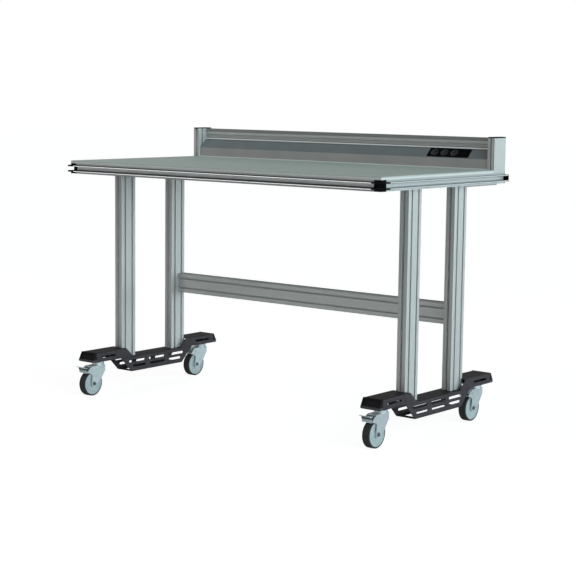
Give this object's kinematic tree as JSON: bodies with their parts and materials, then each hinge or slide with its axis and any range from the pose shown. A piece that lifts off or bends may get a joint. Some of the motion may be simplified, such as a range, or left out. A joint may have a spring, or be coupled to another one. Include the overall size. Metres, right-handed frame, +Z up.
{
  "type": "mobile work table",
  "caption": "Wheeled work table: laminate board in a slotted aluminium frame with a grooved edge, rear duct with power sockets, and two low steel feet on swivel castors.",
  "frame": {"origin": "on the floor under the middle of the whole table, its edge fins included", "axes": "+X along the table to the right seen from the front, +Y from the front edge to the back, +Z up"},
  "size_m": [1.534, 0.817, 1.066],
  "materials": {
    "board": "matt grey-green laminate on chipboard",
    "profile": "natural anodised, satin",
    "black_plastic": "moulded, fine grain",
    "duct": "grey, satin",
    "duct_dark": "dark grey, satin",
    "foot_steel": "black powder coat",
    "zinc": "bright zinc plate",
    "hub_plastic": "light blue-grey moulding",
    "tyre": "smooth black rubber"
  },
  "bodies": {
    "table": {"table_top": "board", "top_brackets": "zinc", "top_screws": "zinc", "front_rail": "profile", "left_rail": "profile", "right_rail": "profile", "front_left_corner": "black_plastic", "front_right_corner": "black_plastic", "left_rail_cap": "black_plastic", "right_rail_cap": "black_plastic", "left_bearer": "profile", "right_bearer": "profile", "rear_beam": "profile", "front_left_leg": "profile", "rear_left_leg": "profile", "front_right_leg": "profile", "rear_right_leg": "profile", "stretcher": "profile", "end_screws": "zinc", "frame_screws": "zinc", "slot_nuts": "zinc", "left_post": "profile", "right_post": "profile", "left_post_cap": "black_plastic", "right_post_cap": "black_plastic", "back_rail": "profile", "cable_duct": "duct", "duct_cover": "duct_dark", "socket_block": "black_plastic", "socket_inserts": "black_plastic", "left_foot": "foot_steel", "right_foot": "foot_steel", "front_left_foot_cap": "black_plastic", "rear_left_foot_cap": "black_plastic", "front_right_foot_cap": "black_plastic", "rear_right_foot_cap": "black_plastic", "front_left_castor_plate": "zinc", "front_right_castor_plate": "zinc", "rear_left_castor_plate": "zinc", "rear_right_castor_plate": "zinc", "castor_bolts": "zinc", "king_pins": "zinc"},
    "front_left_castor": {"front_left_fork": "zinc", "front_left_axle": "zinc"},
    "front_left_wheel": {"front_left_hub": "hub_plastic", "front_left_tyre": "tyre"},
    "front_left_brake": {"front_left_pedal": "zinc"},
    "front_right_castor": {"front_right_fork": "zinc", "front_right_axle": "zinc"},
    "front_right_wheel": {"front_right_hub": "hub_plastic", "front_right_tyre": "tyre"},
    "front_right_brake": {"front_right_pedal": "zinc"},
    "rear_left_castor": {"rear_left_fork": "zinc", "rear_left_axle": "zinc"},
    "rear_left_wheel": {"rear_left_hub": "hub_plastic", "rear_left_tyre": "tyre"},
    "rear_right_castor": {"rear_right_fork": "zinc", "rear_right_axle": "zinc"},
    "rear_right_wheel": {"rear_right_hub": "hub_plastic", "rear_right_tyre": "tyre"}
  },
  "joints": [
    {"name": "front_left_swivel", "type": "hinge", "parent": "table", "child": "front_left_castor", "pos_m": [-0.7, -0.295, 0.125], "axis": [0, 0, 1], "continuous": true},
    {"name": "front_left_roll", "type": "hinge", "parent": "front_left_castor", "child": "front_left_wheel", "pos_m": [-0.7, -0.3365, 0.05], "axis": [1, 0, 0], "continuous": true},
    {"name": "front_left_brake", "type": "hinge", "parent": "front_left_castor", "child": "front_left_brake", "pos_m": [-0.7, -0.347, 0.108], "axis": [1, 0, 0], "range_deg": [0, 10]},
    {"name": "front_right_swivel", "type": "hinge", "parent": "table", "child": "front_right_castor", "pos_m": [0.7, -0.295, 0.125], "axis": [0, 0, 1], "continuous": true},
    {"name": "front_right_roll", "type": "hinge", "parent": "front_right_castor", "child": "front_right_wheel", "pos_m": [0.7, -0.3365, 0.05], "axis": [1, 0, 0], "continuous": true},
    {"name": "front_right_brake", "type": "hinge", "parent": "front_right_castor", "child": "front_right_brake", "pos_m": [0.7, -0.347, 0.108], "axis": [1, 0, 0], "range_deg": [0, 10]},
    {"name": "rear_left_swivel", "type": "hinge", "parent": "table", "child": "rear_left_castor", "pos_m": [-0.7, 0.32, 0.125], "axis": [0, 0, 1], "continuous": true},
    {"name": "rear_left_roll", "type": "hinge", "parent": "rear_left_castor", "child": "rear_left_wheel", "pos_m": [-0.7, 0.2785, 0.05], "axis": [1, 0, 0], "continuous": true},
    {"name": "rear_right_swivel", "type": "hinge", "parent": "table", "child": "rear_right_castor", "pos_m": [0.7, 0.32, 0.125], "axis": [0, 0, 1], "continuous": true},
    {"name": "rear_right_roll", "type": "hinge", "parent": "rear_right_castor", "child": "rear_right_wheel", "pos_m": [0.7, 0.2785, 0.05], "axis": [1, 0, 0], "continuous": true}
  ]
}
